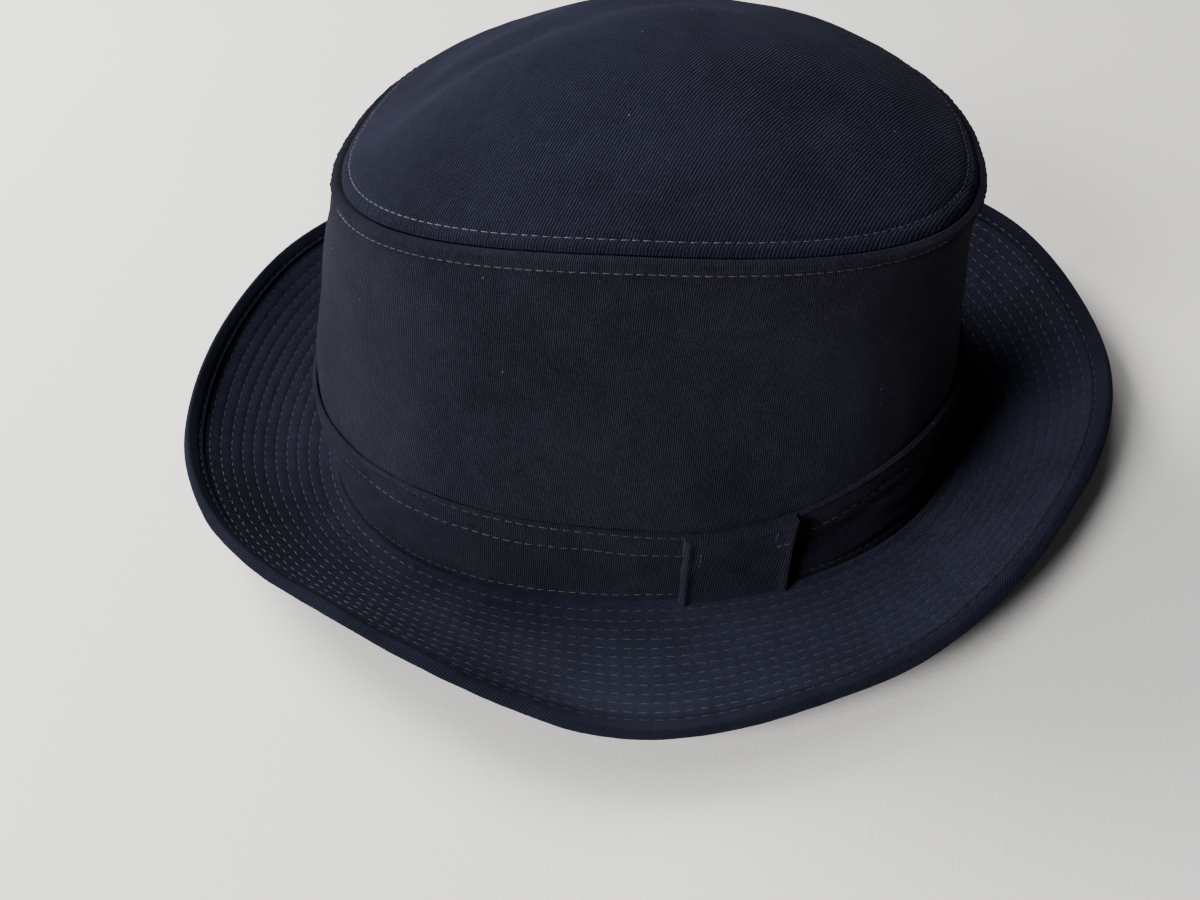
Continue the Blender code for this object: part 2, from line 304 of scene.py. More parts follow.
# Relief of the brim: a welt beside the band, quilting between the rows of stitches, where it starts
# and fades, and the shares of the quilting and of the waves that the underside has.
WELT_HEIGHT = 0.0007
WELT_PLACE = 0.0010
WELT_REACH = 0.0007
WELT_STEPS = (0.0004, 0.0008, 0.0012, 0.0016, 0.0021, 0.0026)
QUILT_DEPTH = 0.00028
QUILT_STEPS = (0.00, 0.12, 0.30, 0.50, 0.70, 0.88)
QUILT_START = 0.001
QUILT_FADE = 0.003
UNDER_QUILT = 0.6
UNDER_RUCK = 0.4

# Twill weave: distances between ribs and between yarns, the angle between these, depth of the
# weave's bump, and scales of the noises. A wave texture of scale 1 repeats every WAVE_PERIOD.
RIB_PITCH = 0.00066
WEAVE_DEPTH = 0.00020
WAVE_PERIOD = 2 * pi / 20
YARN_PITCH = 0.00052
YARN_TURN = radians(62)
WOBBLE_SCALE = 700.0
FUZZ_SCALE = 1500.0
SLUB_SCALE = 260.0
PATCH_SCALE = 28.0
DUST_PER_METRE = 190.0
THREAD_SHADE_SCALE = 420.0
THREAD_TWIST_SCALE = 5200.0

# Colors: dust, the dark of all the cloths, the light of each one's ribs, and the thread. The brim's rib light
# is painted brighter and the binding's is painted darker than their cloth, as painted light and painted
# shade.
DUST_COLOR = (0.16, 0.16, 0.18)
NAVY = (0.0052, 0.0054, 0.0092)
NAVY_LIGHT = (0.0310, 0.0340, 0.0600)
GREY_LIGHT = (0.0360, 0.0355, 0.0530)
# The brim's rib colour is its cloth's lighter ribs, painted brighter than the other pieces' ribs as painted
# light.
BRIM_RIB_PAINTED_LIGHTER = (0.0410, 0.0450, 0.0780)
# The binding's rib colour is its cloth's lighter ribs, painted darker than the other pieces' ribs as painted
# shade.
BINDING_RIB_PAINTED_DARKER = (0.0240, 0.0262, 0.0460)
THREAD_COLOR = (0.046, 0.045, 0.055)
BRIM_THREAD_SHARE = 0.62

# Floor, and lamps that look at LIGHT_TARGET: name, place, size in metres, power in watts, color.
FLOOR_SIZE = 6.0
FLOOR_GAP = 0.0001
FLOOR_GRAIN_SCALE = 900.0
FLOOR_TONE_SCALE = 6.0
FLOOR_DARK = (0.68, 0.66, 0.62)
FLOOR_LIGHT = (0.72, 0.70, 0.66)
LIGHT_TARGET = (0, 0, 0.05)
WARM = (1.0, 0.99, 0.97)
LIGHTS = (
    ("window", (-0.80, 0.48, 0.86), 0.60, 31.0, WARM),
    ("side", (-1.10, -0.10, 0.45), 0.80, 2.0, WARM),
    ("ceiling", (-0.35, 0.10, 1.15), 0.70, 6.0, (0.97, 0.98, 1.0)),
    ("room", (-0.66, -0.74, 0.76), 0.50, 25.0, (0.98, 0.98, 1.0)),
)
WORLD_COLOR = (0.90, 0.92, 1.0, 1.0)
WORLD_STRENGTH = 0.05

# Camera as recovered from the photo, for an image 1200 pixels wide.
CAMERA_PLACE = (0.0448, -0.2309, 0.2350)
CAMERA_YAW = radians(-14.5)
CAMERA_PITCH = radians(47.6)
CAMERA_ROLL = radians(-10.3)
IMAGE_WIDTH = 1200
FOCAL_PIXELS = 966.5
SENSOR_WIDTH = 36.0

rng = np.random.default_rng(7)


def ring_angles(count):
    return np.linspace(0, 2 * pi, count, endpoint=False)


def unit(vectors):
    return vectors / np.linalg.norm(vectors, axis=-1, keepdims=True)


def bell(place, middle, reach):
    """Smooth bump of height 1 round a middle."""
    return np.exp(-((place - middle) / reach) ** 2)


def read_table(table, columns, place, value):
    """Lists of one table's places and values, picked by the names of its columns."""
    first = columns.index(place)
    second = columns.index(value)
    return [row[first] for row in table], [row[second] for row in table]


def read_smooth(table, columns, place, value, at, blur):
    """A table's value at some places, with its corners rounded over blur."""
    places, values = read_table(table, columns, place, value)
    at = np.asarray(at, float)
    room = np.minimum(blur, np.minimum(at - places[0], places[-1] - at).clip(0))
    total = 0.0
    weight = 0.0
    for step in (-1.0, -0.75, -0.5, -0.25, 0.0, 0.25, 0.5, 0.75, 1.0):
        share = 1.25 - abs(step)
        total = total + share * np.interp(at + step * room, places, values)
        weight += share
    return total / weight


def read_round(table, columns, value, angle):
    """One of a table's values at some angles, read smoothly round the hat."""
    places, values = read_table(table, columns, "angle", value)
    turn = np.degrees(angle) % 360
    total = 0.0
    weight = 0.0
    for step in range(-SMOOTH_REACH, SMOOTH_REACH + 1, 2):
        share = SMOOTH_REACH + 1 - abs(step)
        total = total + share * np.interp(turn + step, places, values, period=360)
        weight += share
    return total / weight


def oval_radius(angle, half_length, half_width, power):
    """Distance from an oval's centre to its rim, in the direction of angle."""
    along = (np.abs(np.cos(angle)) / half_length) ** power
    across = (np.abs(np.sin(angle)) / half_width) ** power
    return (along + across) ** (-1.0 / power)


def points(*parts):
    """Points or texture places, from one array for each coordinate."""
    return np.stack(np.broadcast_arrays(*parts), axis=-1)


def foot_height(angle):
    """The foot lies flat at both ends and lifts a little towards the sides."""
    flat = sin(FOOT_FLAT) ** 2
    rise = np.clip(np.sin(angle) ** 2 - flat, 0, None) / (1 - flat)
    return BRIM_THICKNESS + FOOT_LIFT * rise * rise * (3 - 2 * rise)


def foot_point(angle, inset=0.0):
    """Point of the foot oval, on the brim's top face, set in from the band's outer face."""
    radius = oval_radius(angle, FOOT_LENGTH / 2 - inset, FOOT_WIDTH / 2 - inset, FOOT_POWER)
    return points(radius * np.cos(angle), radius * np.sin(angle), foot_height(angle))


def foot_normal(angle):
    """Level direction straight out of the foot oval."""
    step = radians(1.0)
    tangent = foot_point(angle + step) - foot_point(angle - step)
    length = np.hypot(tangent[..., 0], tangent[..., 1])
    return points(tangent[..., 1] / length, -tangent[..., 0] / length, 0.0)


def tip_height(x, y):
    """Height of the seam ring's soft saddle at a place, before the dome is added."""
    along = (x - SEAM_BACK_SHIFT) / (SEAM_LENGTH / 2)
    across = (y - SEAM_SIDE_SHIFT) / (SEAM_WIDTH / 2)
    saddle = SEAM_TILT * along + SEAM_DROP * along * along + SEAM_SIDE_TILT * across
    return BRIM_THICKNESS + SEAM_HEIGHT - saddle


def seam_point(angle, share=1.0):
    """Point on the seam ring, or on the same ring shrunk towards the tip's centre."""
    radius = share * oval_radius(angle, SEAM_LENGTH / 2, SEAM_WIDTH / 2, SEAM_POWER)
    x = SEAM_BACK_SHIFT + radius * np.cos(angle)
    y = SEAM_SIDE_SHIFT + radius * np.sin(angle)
    return points(x, y, tip_height(x, y))


def side_point(angle, share):
    """Outer face of the side wall, from the foot (0) to the seam (1)."""
    share = np.asarray(share, float)
    foot = foot_point(angle, BAND_THICKNESS + GAP) + np.array([0.0, 0.0, GAP])
    swell = read_smooth(SIDE_PROFILE, SIDE_PROFILE_COLUMNS, "height", "swell", share, 0.09)
    swell = SIDE_SWELL * swell * (1 - SWELL_TO_FRONT * np.cos(angle))
    share = share[..., None]
    return foot * (1 - share) + seam_point(angle) * share + foot_normal(angle) * swell[..., None]


def dent_depth(along, across):
    """How far the tip sinks at a place given as shares of the seam's half sizes."""
    total = 0.0
    for row in DENTS:
        dent = dict(zip(DENT_COLUMNS, row))
        turn = radians(dent["turn"])
        dx = along - dent["along"]
        dy = across - dent["across"]
        far = (dx * cos(turn) + dy * sin(turn)) / dent["long_reach"]
        near = (dy * cos(turn) - dx * sin(turn)) / dent["short_reach"]
        total = total + dent["depth"] * np.exp(-far * far - near * near)
    rim = np.clip(1 - np.hypot(along, across) ** 4, 0, None)
    return DENT_DEPTH * total * rim


def tip_point(angle, share):
    """Outer face of the tip, from its centre (0) to the seam (1)."""
    point = seam_point(angle, share)
    along = (point[..., 0] - SEAM_BACK_SHIFT) / (SEAM_LENGTH / 2)
    across = (point[..., 1] - SEAM_SIDE_SHIFT) / (SEAM_WIDTH / 2)
    point[..., 2] += DOME_HEIGHT * (1 - share ** DOME_POWER) - dent_depth(along, across)
    return point


def slant():
    """Height of the side wall along its face, in the middle of the near side."""
    return float(np.linalg.norm(side_point(pi * 1.5, 1.0) - side_point(pi * 1.5, 0.0)))


def band_top(angle):
    """Height of the band's top edge above the crown's foot."""
    return BAND_HEIGHT * read_round(BAND_TURN, BAND_TURN_COLUMNS, "height", angle)


def band_face(angle, height, offset):
    """Point that stands off the side wall at a height above its foot, for the band and its tab."""
    share = np.asarray(height, float) / slant()
    step = 0.01
    climb = side_point(angle, share + step) - side_point(angle, np.maximum(0.0, share - step))
    turn = radians(1.0)
    along = side_point(angle + turn, share) - side_point(angle - turn, share)
    return side_point(angle, share) + np.asarray(offset)[..., None] * unit(np.cross(along, climb))


def band_normal(angle, height):
    """Unit normals of the side wall, for stitches on the band and the tab."""
    plain = np.zeros(np.shape(angle))
    return unit(band_face(angle, height, plain + 0.01) - band_face(angle, height, plain))


def brim_edge(angle):
    """Distance from the band to the brim's own edge, inside its binding."""
    width = BRIM_WIDTH * read_round(BRIM_TURN, BRIM_TURN_COLUMNS, "width", angle)
    return width - GAP - BINDING_THICKNESS


def brim_thickness(angle, reach):
    """The brim thins from just inside its binding out to its edge."""
    thinning = BINDING_WIDTH + THINNING_LEAD
    share = np.clip(1 - (brim_edge(angle) - reach) / thinning, 0.0, 1.0)
    return BRIM_THICKNESS + (BRIM_EDGE_THICKNESS - BRIM_THICKNESS) * share


def brim_section(angle, reach):
    """Top face of the brim at a distance out from the band, with the section's two directions."""
    out = foot_normal(angle)
    up = np.array([0.0, 0.0, 1.0])
    slope = np.radians(read_round(BRIM_TURN, BRIM_TURN_COLUMNS, "slope", angle))
    span = brim_edge(angle) - BRIM_SEAT
    place = foot_point(angle) + out * np.minimum(reach, BRIM_SEAT)[..., None]
    beyond = np.clip(reach - BRIM_SEAT, 0.0, None)
    for i in range(BRIM_STEPS):
        share = (i + 0.5) / BRIM_STEPS * beyond / span
        tilt = slope * (1 - BRIM_CURL + 2 * BRIM_CURL * share)
        move = out * np.cos(tilt)[..., None] + up * np.sin(tilt)[..., None]
        place = place + move * (beyond / BRIM_STEPS)[..., None]
    tilt = slope * (1 - BRIM_CURL + 2 * BRIM_CURL * beyond / span) * (reach > BRIM_SEAT)
    along = out * np.cos(tilt)[..., None] + up * np.sin(tilt)[..., None]
    return place, along, up * np.cos(tilt)[..., None] - out * np.sin(tilt)[..., None]


def cad_shift():
    """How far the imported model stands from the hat's own origin, read from the band's node."""
    low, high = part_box("hat_band")
    angle = np.arange(STATIONS) * 2 * pi / STATIONS
    height = np.array([[0.0], [0.5], [1.0]]) * band_top(angle)
    ring = band_face(angle, height, np.full(height.shape, GAP + BAND_THICKNESS)).reshape(-1, 3)
    own = (ring.min(axis=0) + ring.max(axis=0)) / 2
    middle = (low + high) / 2
    return np.array([middle[0] - own[0], middle[1] - own[1], 0.0])


SHIFT = cad_shift()
FOOT_RADIUS = (FOOT_LENGTH + FOOT_WIDTH) / 4
TAB_RADIUS = float(np.linalg.norm(foot_point(TAB_ANGLE)[:2]))


def cloth_noise(grid, scale, seed):
    """Smooth noise from about -1 to 1 at each point of a grid."""
    scaled = grid.reshape(-1, 3) * scale + np.array([seed * 7.3, seed * 3.1, seed * 5.7])
    values = [noise.noise(Vector(point)) for point in scaled]
    return np.array(values).reshape(grid.shape[:-1])


def ruck(grid, waves, seed):
    """Uneven rises of worn cloth: the sum of some waves of smooth noise."""
    return sum(height * cloth_noise(grid, scale, seed + k) for k, (height, scale) in enumerate(waves))


def grid_normals(grid):
    """Outward unit normals of a grid whose rows climb and whose columns run round the hat."""
    around = np.roll(grid, -1, axis=1) - np.roll(grid, 1, axis=1)
    return unit(np.cross(around, np.gradient(grid, axis=0)))


def make_piece(name, verts, faces, coords, material, body="root"):
    """A smooth closed mesh with its texture coordinates, its material and its body."""
    verts = np.asarray(verts, float) + SHIFT
    faces = np.asarray(faces)
    volume = 0.0
    for half in ([0, 1, 2], [0, 2, 3]):
        corner = verts[faces[:, half]]
        volume += np.einsum("ij,ij->i", corner[:, 0], np.cross(corner[:, 1], corner[:, 2])).sum()
    if volume < 0:
        faces = faces[:, ::-1]
        coords = coords[:, ::-1]
    mesh = bpy.data.meshes.new(name)
    # A face with its last corner repeated is a triangle.
    shapes = [tuple(int(v) for v in dict.fromkeys(face)) for face in faces.tolist()]
    mesh.from_pydata(verts.tolist(), [], shapes)
    layer = mesh.uv_layers.new(name="cloth")
    flat = []
    for face, corners in zip(faces.tolist(), coords.tolist()):
        seen = set()
        for vert, corner in zip(face, corners):
            if vert not in seen:
                seen.add(vert)
                flat += corner
    layer.data.foreach_set("uv", flat)
    mesh.shade_smooth()
    mesh.set_sharp_from_angle(angle=SHARP_TURN)
    mesh.materials.append(material)
    obj = bpy.data.objects.new(name, mesh)
    bpy.context.collection.objects.link(obj)
    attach(obj, body)
    return obj


def ring_faces(rows, columns, closed):
    """Quads between rows of points that run round the hat, and the places of their corners."""
    row = np.arange(rows if closed else rows - 1)[:, None]
    column = np.arange(columns)[None, :]
    corners = []
    places = []
    for down, over in ((0, 0), (0, 1), (1, 1), (1, 0)):
        r = row + down + 0 * column
        c = column + over + 0 * row
        corners.append((r % rows) * columns + c % columns)
        places.append(points(r, c))
    faces = np.stack(corners, axis=-1).reshape(-1, 4)
    return faces, np.stack(places, axis=2).reshape(-1, 4, 2)


def ring_piece(name, loops, coords, material):
    """A closed ring whose section runs through the loops; coords has one more row and column."""
    rows, columns = loops.shape[:2]
    faces, places = ring_faces(rows, columns, True)
    return make_piece(name, loops.reshape(-1, 3), faces, coords[places[..., 0], places[..., 1]],
                      material)


def wrap(grid):
    """A grid with its first column repeated at its end."""
    return np.concatenate([grid, grid[:, :1]], axis=1)


# One stitch: corners of its section, and its stations along its length with their rise and girth as
# shares of the thread's radius.
STITCH_SIDES = 6
STITCH_STATIONS = (0.0, 0.12, 0.5, 0.88, 1.0)
STITCH_RISE = (-0.9, 0.35, 0.55, 0.35, -0.9)
STITCH_GIRTH = (0.75, 1.0, 1.05, 1.0, 0.75)


def stitch_row(line, normals, pitch, dash, closed=True):
    """Points and faces of one row of stitches that lie along a line of points on the cloth."""
    if closed:
        line = np.concatenate([line, line[:1]])
        normals = np.concatenate([normals, normals[:1]])
    length = np.concatenate([[0.0], np.cumsum(np.linalg.norm(np.diff(line, axis=0), axis=1))])
    count = max(1, int(round(length[-1] / pitch)))
    start = (np.arange(count) + rng.uniform(0, 0.08, count)) * length[-1] / count
    reach = length[-1] / count * dash * rng.uniform(0.92, 1.06, count)
    skew = rng.normal(0, 0.25 * THREAD, count)

    def read(values, place):
        return np.stack([np.interp(place, length, values[:, k]) for k in range(3)], axis=-1)

    verts = []
    for station, rise, girth in zip(STITCH_STATIONS, STITCH_RISE, STITCH_GIRTH):
        place = np.minimum(start + reach * station, length[-1])
        centre = read(line, place)
        ahead = read(line, np.minimum(place + 0.0003, length[-1]))
        behind = read(line, np.maximum(place - 0.0003, 0.0))
        up = read(normals, place)
        side = unit(np.cross(unit(ahead - behind), up))
        centre = centre + up * THREAD * rise + side * (skew * (station - 0.5) * 2)[:, None]
        for turn in np.arange(STITCH_SIDES) * 2 * pi / STITCH_SIDES:
            verts.append(centre + THREAD * girth * (side * cos(turn) * 1.15 + up * sin(turn)))
    verts = np.stack(verts, axis=1)
    per = verts.shape[1]
    faces = []
    for ring in range(len(STITCH_STATIONS) - 1):
        for k in range(STITCH_SIDES):
            a = ring * STITCH_SIDES + k
            b = ring * STITCH_SIDES + (k + 1) % STITCH_SIDES
            faces.append((a, b, b + STITCH_SIDES, a + STITCH_SIDES))
    last = per - STITCH_SIDES
    faces += [(3, 2, 1, 0), (5, 4, 3, 0)]
    faces += [(last, last + 1, last + 2, last + 3), (last, last + 3, last + 4, last + 5)]
    faces = (np.array(faces)[None] + np.arange(count)[:, None, None] * per).reshape(-1, 4)
    return verts.reshape(-1, 3), faces


def stitch_piece(name, rows, material):
    """One mesh that holds several rows of stitches."""
    verts = []
    faces = []
    count = 0
    for row_verts, row_faces in rows:
        verts.append(row_verts)
        faces.append(row_faces + count)
        count += len(row_verts)
    faces = np.concatenate(faces)
    coords = np.zeros((len(faces), 4, 2))
    return make_piece(name, np.concatenate(verts), faces, coords, material)


class Nodes:
    """A material's nodes, added and linked one by one."""

    def __init__(self, name):
        self.material = bpy.data.materials.new(name)
        self.material.use_nodes = True
        self.tree = self.material.node_tree
        self.shader = self.tree.nodes["Principled BSDF"]

    def add(self, kind, inputs=(), **settings):
        node = self.tree.nodes.new(kind)
        for key, value in settings.items():
            setattr(node, key, value)
        for key, value in dict(inputs).items():
            if isinstance(value, bpy.types.NodeSocket):
                self.tree.links.new(value, node.inputs[key])
            else:
                node.inputs[key].default_value = value
        return node

    def clouds(self, place, scale, detail, roughness=0.5):
        """Soft noise from 0 to 1."""
        return self.add("ShaderNodeTexNoise", {
            "Vector": place, "Scale": scale, "Detail": detail, "Roughness": roughness}).outputs["Fac"]

    def ribs(self, place, turn, pitch):
        """Parallel ribs on the cloth, turned by an angle."""
        place = self.add("ShaderNodeMapping", {"Vector": place, "Rotation": (0, 0, turn)}).outputs[0]
        return self.add("ShaderNodeTexWave", {"Vector": place, "Scale": WAVE_PERIOD / pitch},
                        wave_type="BANDS", bands_direction="X").outputs["Fac"]

    def math(self, operation, first, second, third=0.0):
        node = self.add("ShaderNodeMath", {0: first, 1: second, 2: third}, operation=operation)
        return node.outputs[0]

    def mix(self, share, first, second):
        node = self.add("ShaderNodeMix", data_type="RGBA")
        for socket, value in ((node.inputs[0], share), (node.inputs[6], first), (node.inputs[7], second)):
            if isinstance(value, bpy.types.NodeSocket):
                self.tree.links.new(value, socket)
            else:
                socket.default_value = (*value, 1.0) if isinstance(value, tuple) else value
        return node.outputs[2]

    def finish(self, **values):
        for key, value in values.items():
            socket = self.shader.inputs[key.replace("_", " ")]
            if isinstance(value, bpy.types.NodeSocket):
                self.tree.links.new(value, socket)
            else:
                socket.default_value = value
        return self.material


def twill(name, rib_turn, dark, light, fade, sheen):
    """Cotton twill: slanting ribs broken by the yarns, faded patches, fuzz and a little dust."""
    n = Nodes(name)
    place = n.add("ShaderNodeUVMap", uv_map="cloth").outputs["UV"]
    solid = n.add("ShaderNodeTexCoord").outputs["Object"]
    wobble = n.add("ShaderNodeTexNoise", {"Vector": solid, "Scale": WOBBLE_SCALE, "Detail": 1.0})
    wobble = n.add("ShaderNodeVectorMath", {0: wobble.outputs["Color"], "Scale": RIB_PITCH * 0.45},
                   operation="SCALE").outputs[0]
    place = n.add("ShaderNodeVectorMath", {0: place, 1: wobble}, operation="ADD").outputs[0]
    rib = n.ribs(place, rib_turn, RIB_PITCH)
    yarn = n.ribs(place, rib_turn + YARN_TURN, YARN_PITCH)
    fuzz = n.clouds(solid, FUZZ_SCALE, 3.0, 0.65)
    slub = n.clouds(solid, SLUB_SCALE, 3.0, 0.6)
    patch = n.clouds(solid, PATCH_SCALE, 2.0)
    rib = n.add("ShaderNodeMapRange", {"Value": rib, "From Min": 0.15, "From Max": 0.85}).outputs[0]
    weave = n.math("MULTIPLY", rib, n.math("MULTIPLY_ADD", yarn, 0.30, 0.70))
    height = n.math("MULTIPLY_ADD", fuzz, 0.60, weave)
    wear = n.math("MULTIPLY_ADD", n.math("SUBTRACT", patch, 0.5), 1.8, 0.5)
    grain = n.add("ShaderNodeMapRange", {"Value": fuzz, "From Min": 0.32, "From Max": 0.68}).outputs[0]
    share = n.math("MULTIPLY", weave, n.math("MULTIPLY_ADD", slub, 1.0, 0.10))
    share = n.math("MULTIPLY", share, n.math("MULTIPLY_ADD", grain, 0.95, 0.30))
    share = n.math("MULTIPLY_ADD", share, 0.85, n.math("MULTIPLY", wear, fade))
    share = n.add("ShaderNodeClamp", {"Value": share}).outputs[0]
    color = n.mix(share, dark, light)
    cell = n.add("ShaderNodeTexVoronoi", {"Vector": solid, "Scale": DUST_PER_METRE})
    near = n.add("ShaderNodeMapRange", {
        "Value": cell.outputs["Distance"], "From Min": 0.03, "From Max": 0.05, "To Min": 1.0, "To Max": 0.0})
    chance = n.add("ShaderNodeSeparateColor", {0: cell.outputs["Color"]}).outputs[0]
    some = n.math("GREATER_THAN", chance, 0.82)
    dust = n.math("MULTIPLY", near.outputs[0], n.math("MULTIPLY", some, 0.55))
    color = n.mix(dust, color, DUST_COLOR)
    bump = n.add("ShaderNodeBump", {"Height": height, "Strength": 0.9, "Distance": WEAVE_DEPTH})
    rough = n.add("ShaderNodeMapRange", {"Value": slub, "To Min": 0.78, "To Max": 0.95}).outputs[0]
    return n.finish(Base_Color=color, Roughness=rough, Normal=bump.outputs[0], Sheen_Weight=sheen,
                    Sheen_Roughness=0.45, Sheen_Tint=(0.70, 0.70, 0.88, 1.0), Specular_IOR_Level=0.01,
                    Diffuse_Roughness=0.9)


def thread_material(name, color):
    """Slightly shiny sewing thread with uneven shade."""
    n = Nodes(name)
    solid = n.add("ShaderNodeTexCoord").outputs["Object"]
    shade = n.clouds(solid, THREAD_SHADE_SCALE, 2.0)
    twist = n.clouds(solid, THREAD_TWIST_SCALE, 1.0)
    darker = tuple(0.55 * value for value in color)
    share = n.add("ShaderNodeMapRange", {"Value": shade, "From Min": 0.3, "From Max": 0.7}).outputs[0]
    bump = n.add("ShaderNodeBump", {"Height": twist, "Strength": 0.6, "Distance": 0.00006})
    return n.finish(Base_Color=n.mix(share, darker, color), Roughness=0.62, Normal=bump.outputs[0],
                    Specular_IOR_Level=0.4)


# Rib turns are angles in each piece's own cloth, from its first coordinate.
SIDE_CLOTH = twill("side_twill", radians(5), NAVY, GREY_LIGHT, 0.20, 0.01)
TIP_CLOTH = twill("tip_twill", radians(27), NAVY, NAVY_LIGHT, 0.22, 0.01)
BAND_CLOTH = twill("band_twill", radians(3), NAVY, GREY_LIGHT, 0.18, 0.01)
# The brim's ribs carry painted light: their colour is brighter than the same cloth elsewhere.
BRIM_CLOTH = twill("brim_twill", radians(33), NAVY, BRIM_RIB_PAINTED_LIGHTER, 0.20, 0.01)
# The binding's ribs carry painted shade: their colour is darker than the same cloth elsewhere.
BINDING_CLOTH = twill("binding_twill", radians(45), NAVY, BINDING_RIB_PAINTED_DARKER, 0.26, 0.01)
CROWN_THREAD = thread_material("crown_thread", THREAD_COLOR)
BRIM_THREAD = thread_material("brim_thread", tuple(BRIM_THREAD_SHARE * value for value in THREAD_COLOR))


def roll_rise(distance, cloth):
    """Rise of the rolled cloth, of the tip or of the side, at a distance from the crown's seam."""
    distance = np.minimum(distance, ROLL[-1][0])
    return SEAM_ROLL * read_smooth(ROLL, ROLL_COLUMNS, "distance", cloth, distance, 0.0003)


def crown_relief(base, distance, around, seed):
    """Soft waves of the worn crown, and the puckers that the seam's stitches pull."""
    near = bell(distance, 0.0012, 0.0016)[:, None]
    wide = bell(distance, 0.0, PUCKER_REACH)[:, None]
    away = 1 - bell(distance, 0.0, WAVE_START)[:, None]
    puckers = ruck(base * np.array([1.0, 1.0, 0.35]), PUCKERS, seed + 2)
    # One small pucker for each stitch of the seam, of uneven depth.
    uneven = 1 + cloth_noise(base, 120.0, seed + 3)
    stitch = STITCH_PUCKER * np.cos(2 * pi * around / SEAM_PITCH) * uneven
    return ruck(base, CROWN_WAVES, seed) * away + puckers * wide + stitch * near


def crown_faces():
    """Outer and inner grids of side and tip, each row's distance from the seam, and the side's rows."""
    angle = ring_angles(CROWN_COLUMNS)
    wall = slant()
    down = list(SEAM_STEPS)
    lowest = wall - float(band_top(angle).min())
    while down[-1] < lowest + 0.004:
        down.append(down[-1] + CLOTH_STEP)
    down += [(down[-1] + wall) / 2, wall]
    side_distance = np.array(down[::-1])
    side = side_point(angle[None, :], (1 - side_distance / wall)[:, None])
    reach = SEAM_WIDTH / 2
    across = list(SEAM_STEPS)
    while across[-1] < reach - 2.5 * CLOTH_STEP:
        across.append(across[-1] + 1.3 * CLOTH_STEP)
    tip_distance = np.array(across)
    tip = tip_point(angle[None, :], (1 - tip_distance / reach)[:, None])
    base = np.concatenate([side, tip])
    normals = grid_normals(base)
    inner = base - CROWN_WALL * normals
    inner[0] = base[0] - CROWN_WALL * foot_normal(angle)
    distance = np.concatenate([side_distance, tip_distance])
    around = angle[None, :] * (SEAM_LENGTH + SEAM_WIDTH) / 4
    rise = np.concatenate([roll_rise(side_distance, "side"), roll_rise(tip_distance, "tip")])[:, None]
    relief = np.concatenate([
        crown_relief(side, side_distance, around, SIDE_SEED),
        crown_relief(tip, tip_distance, around, TIP_SEED),
    ])
    hang = HANG_DEPTH * read_smooth(HANG, HANG_COLUMNS, "distance", "out", side_distance, HANG_BLUR)
    uneven = 1 + HANG_UNEVEN * cloth_noise(side * np.array([1.0, 1.0, 0.5]), 16.0, HANG_SEED)
    weight = np.abs(np.sin(angle)) ** HANG_FADE * np.where(np.sin(angle) < 0, 1.0, FAR_HANG)
    hang = np.minimum(hang[:, None] * uneven * weight, HANG_LIMIT)
    hang[:PLAIN_ROWS] = 0.0
    relief[:PLAIN_ROWS] = 0.0
    base[:len(side)] += normals[:len(side)] * hang[:, :, None]
    inner[:len(side)] += normals[:len(side)] * hang[:, :, None]
    outer = base + normals * (rise + relief)[:, :, None]
    return outer, inner, distance, len(side)


def make_crown():
    outer, inner, distance, rows = crown_faces()
    wall = slant()
    around = np.linspace(0, 2 * pi, CROWN_COLUMNS + 1) * FOOT_RADIUS
    side_rows = np.r_[np.arange(0, rows - 1, INNER_EVERY), rows - 1]
    loops = np.concatenate([outer[:rows], inner[side_rows][::-1]])
    up = np.r_[wall - distance[:rows], (wall - distance[side_rows])[::-1], wall - distance[0]]
    coords = points(around[None, :], up[:, None])
    side = ring_piece("crown_side_cloth", loops, coords, SIDE_CLOTH)
    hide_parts("crown_side")

    tip_outer = outer[rows:]
    tip_inner = inner[rows:]
    keep = np.r_[np.arange(0, len(tip_inner) - 1, INNER_EVERY), len(tip_inner) - 1]
    loops = np.concatenate([tip_inner[keep][::-1], tip_outer])
    count = len(loops)
    faces, places = ring_faces(count, CROWN_COLUMNS, False)
    top = tip_point(0.0, 0.0)
    verts = np.concatenate([loops.reshape(-1, 3), [top, top - np.array([0, 0, CROWN_WALL])]])
    closed = []
    for row, centre in ((0, len(verts) - 1), (count - 1, len(verts) - 2)):
        for c in range(CROWN_COLUMNS):
            first = row * CROWN_COLUMNS + c
            second = row * CROWN_COLUMNS + (c + 1) % CROWN_COLUMNS
            pair = (second, first) if row == 0 else (first, second)
            closed.append((*pair, centre, centre))
    faces = np.concatenate([faces, closed])
    coords = verts[faces][..., :2]
    tip = make_piece("crown_tip_cloth", verts, faces, coords, TIP_CLOTH)
    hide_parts("crown_tip")

    normals = grid_normals(outer)
    rows_of_stitches = []
    for first, after, place in ((0, rows, SIDE_SEAM_ROW), (rows, len(outer), TIP_SEAM_ROW)):
        row = first + int(np.argmin(np.abs(distance[first:after] - place)))
        rows_of_stitches.append(stitch_row(outer[row], normals[row], SEAM_PITCH, SEAM_DASH))
    stitches = stitch_piece("crown_stitches", rows_of_stitches, CROWN_THREAD)


def brim_row_reach(angle, row):
    """Distance from the band to one of the brim's rows of stitches; row may lie between two."""
    last = brim_edge(angle) - BINDING_WIDTH - BRIM_LAST_ROW
    return BRIM_FIRST_ROW + (last - BRIM_FIRST_ROW) * row / (BRIM_ROWS - 1)


def quilt_fade(angle, reach):
    """Share of the quilting and waves, which fade out next to the band and to the binding."""
    room = brim_edge(angle) - BINDING_WIDTH - reach
    return np.clip((reach - QUILT_START) / QUILT_FADE, 0, 1) * np.clip(room / QUILT_FADE, 0, 1)


